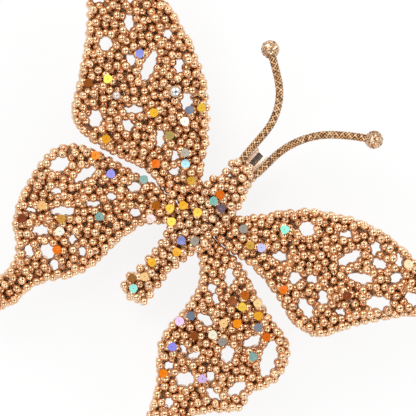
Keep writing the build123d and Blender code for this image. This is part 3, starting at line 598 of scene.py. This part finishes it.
def spring_line():
    """Coil about X that climbs gently at first and last, with a straight leg along each end's heading, and a
    last point just past each leg's end point, where the wire closes."""
    coil_points, leg_points, leg_root = 181, 16, 0.06
    share = np.linspace(0, 1, coil_points)
    angle = math.pi / 2 + 2 * math.pi * spring_turns * share
    coil = np.stack((
        spring_span * (share * share * (3 - 2 * share) - 0.5),
        pivot_y + spring_r * np.cos(angle),
        pivot_z + spring_r * np.sin(angle),
    ), axis=-1)
    away = np.linspace(1, leg_root, leg_points)[:, None] * spring_leg * np.array((0.0, 1.0, 0.0))
    line = np.concatenate((coil[0] + away, coil, coil[-1] + away[::-1]))
    line = np.concatenate((line[:1], line, line[-1:]))
    line[[0, -1], 1] += end_step
    return line


def wire_round(line, radius, around):
    """Round wire on a line: at each point a circle square to the line, held level by the pin's direction, and
    a small one at both ends."""
    closed = 0.02
    ahead = unit(np.gradient(line, axis=0))
    across = unit(np.array((1.0, 0.0, 0.0)) - ahead[:, :1] * ahead)
    up = np.cross(ahead, across)
    turn = np.linspace(0, 2 * math.pi, around, endpoint=False)[:, None]
    circle = across[:, None, :] * np.cos(turn) + up[:, None, :] * np.sin(turn)
    size = np.full((len(line), 1, 1), radius)
    size[[0, -1]] = closed * radius
    return (line[:, None, :] + size * circle).reshape(-1, 3)


spring_steel, spring_shader = plain_finish(
    "hard spring wire", (0.48, 0.46, 0.45), metallic=1.0, roughness=0.25,
)
cloud_gloss(spring_steel, spring_shader, scale=2200.0, low=0.16, high=0.36)
middle_line = spring_line()
spring_points = wire_round(middle_line, spring_wire_r, spring_around)
spring_quads = tube_quads(len(middle_line), spring_around)
spring = quad_piece("wound_clip_spring", spring_points, spring_quads, spring_steel)
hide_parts("clip_spring")
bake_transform(spring)

# Pad between the clip and the body: a strip of felt soaked with glue, with soft rounded edges and a
# fuzzy surface.
pad_low, pad_high = (np.array(corner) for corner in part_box("clip_pad"))
pad_rows, pad_around = 22, 72


def blunt(wave, power):
    """A wave squared off towards one and minus one: its size raised to a power below one, with its sign."""
    return np.sign(wave) * np.abs(wave) ** power


def felt_strip():
    """Rounded slab: a superellipse in plan with another in section, roughened by a little noise."""
    pole_gap, fuzz_depth = 0.02, 0.02
    lean = np.linspace(-math.pi / 2 + pole_gap, math.pi / 2 - pole_gap, pad_rows)[:, None]
    turn = np.linspace(0, 2 * math.pi, pad_around, endpoint=False)
    half = (pad_high - pad_low) / 2
    edge = blunt(np.cos(lean), 0.22)
    fuzz = 1 - fuzz_depth * chance.uniform(size=(pad_rows, pad_around))
    x = half[0] * blunt(np.cos(turn), 0.4) * edge * fuzz
    y = half[1] * blunt(np.sin(turn), 0.12) * edge * fuzz
    z = np.broadcast_to(half[2] * blunt(np.sin(lean), 0.4), fuzz.shape)
    return (pad_low + pad_high) / 2 + np.stack((x, y, z), axis=-1).reshape(-1, 3)


felt, felt_shader = plain_finish("glued felt", (0.30, 0.18, 0.11), metallic=0.0, roughness=0.9)
felt_blotches = add_cloud(felt, scale=1800.0)
colour_by(felt, felt_shader, felt_blotches, (0.0, (0.20, 0.11, 0.06)), (1.0, (0.40, 0.26, 0.16)))
add_bump(felt, felt_shader, add_cloud(felt, scale=6000.0), strength=0.8, depth=0.0002)
pad = quad_piece("felt_pad", felt_strip(), tube_quads(pad_rows, pad_around), felt)
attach(pad, "ornament")
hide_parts("clip_pad")

# Studio: a white table under the ornament, a bright tent of light round it and a dark place straight
# above, where the camera looks down through the tent.
floor_gap = 0.0004
floor_z = cad_box[0][2] - floor_gap
floor_half = 3.0
floor_paint = bpy.data.materials.new("white table")
floor_paint.use_nodes = True
floor_nodes, floor_links = floor_paint.node_tree.nodes, floor_paint.node_tree.links
floor_nodes.clear()
floor_out = floor_nodes.new("ShaderNodeOutputMaterial")
matt = floor_nodes.new("ShaderNodeBsdfDiffuse")
matt.inputs["Color"].default_value = (0.86, 0.86, 0.86, 1.0)
seen_matt = floor_nodes.new("ShaderNodeBsdfDiffuse")
seen_matt.inputs["Color"].default_value = (0.16, 0.16, 0.16, 1.0)
seen_glow = floor_nodes.new("ShaderNodeEmission")
seen_glow.inputs["Strength"].default_value = 0.85
seen = floor_nodes.new("ShaderNodeAddShader")
floor_links.new(seen_matt.outputs["BSDF"], seen.inputs[0])
floor_links.new(seen_glow.outputs["Emission"], seen.inputs[1])
ray = floor_nodes.new("ShaderNodeLightPath")
camera_or_gloss = floor_nodes.new("ShaderNodeMath")
camera_or_gloss.operation = "MAXIMUM"
or_through = floor_nodes.new("ShaderNodeMath")
or_through.operation = "MAXIMUM"
floor_links.new(ray.outputs["Is Camera Ray"], camera_or_gloss.inputs[0])
floor_links.new(ray.outputs["Is Glossy Ray"], camera_or_gloss.inputs[1])
floor_links.new(camera_or_gloss.outputs["Value"], or_through.inputs[0])
floor_links.new(ray.outputs["Is Transmission Ray"], or_through.inputs[1])
choice = floor_nodes.new("ShaderNodeMixShader")
floor_links.new(or_through.outputs["Value"], choice.inputs["Fac"])
floor_links.new(matt.outputs["BSDF"], choice.inputs[1])
floor_links.new(seen.outputs["Shader"], choice.inputs[2])
floor_links.new(choice.outputs["Shader"], floor_out.inputs["Surface"])
floor_points = np.array([
    (-floor_half, -floor_half, floor_z), (floor_half, -floor_half, floor_z),
    (floor_half, floor_half, floor_z), (-floor_half, floor_half, floor_z),
])
floor = quad_piece("white_floor", floor_points, np.array([[0, 1, 2, 3]]), floor_paint, smooth=False)

world = bpy.data.worlds.new("light tent")
bpy.context.scene.world = world
world.use_nodes = True
sky_nodes, sky_links = world.node_tree.nodes, world.node_tree.links
sky = sky_nodes["Background"]
sky_place = sky_nodes.new("ShaderNodeTexCoord")
sky_parts = sky_nodes.new("ShaderNodeSeparateXYZ")
sky_links.new(sky_place.outputs["Generated"], sky_parts.inputs["Vector"])
sky_levels = ((0.0, 0.5), (0.12, 0.3), (0.24, 1.0), (0.45, 0.85), (0.65, 0.48), (0.85, 0.22), (1.0, 0.1))
sky_stops = [(height, (level, level, level)) for height, level in sky_levels]
sky_links.new(add_ramp(world, sky_parts.outputs["Z"], *sky_stops), sky.inputs["Color"])

box_distance = 0.55
softboxes = (
    (165.0, 36.0, 0.42, 1.35),
    (0.0, 60.0, 0.24, 0.52),
    (90.0, 60.0, 0.24, 0.52),
    (290.0, 38.0, 0.22, 0.45),
)
for number, (bearing, from_top, width, power) in enumerate(softboxes):
    lamp = bpy.data.lights.new(f"softbox {number}", "AREA")
    lamp.size = width
    lamp.energy = power
    box = bpy.data.objects.new(f"softbox {number}", lamp)
    tilt, swing = math.radians(from_top), math.radians(bearing)
    box.location = (
        box_distance * math.sin(tilt) * math.cos(swing),
        box_distance * math.sin(tilt) * math.sin(swing),
        box_distance * math.cos(tilt),
    )
    box.rotation_euler = (0.0, tilt, swing)
    bpy.context.scene.collection.objects.link(box)

lens, sensor, view_width = 120.0, 36.0, 0.1456
aim_x, aim_y, aim_z = -0.00092, 0.01104, 0.008
head_right, head_up = 0.678, 0.735
camera = bpy.data.cameras.new("view from above")
camera.lens = lens
camera.sensor_width = sensor
viewpoint = bpy.data.objects.new("view from above", camera)
viewpoint.location = (aim_x, aim_y, aim_z + view_width * lens / sensor)
viewpoint.rotation_euler = (0.0, 0.0, math.atan2(head_right, head_up))
bpy.context.scene.collection.objects.link(viewpoint)
bpy.context.scene.camera = viewpoint
bpy.context.scene.view_settings.view_transform = "Standard"
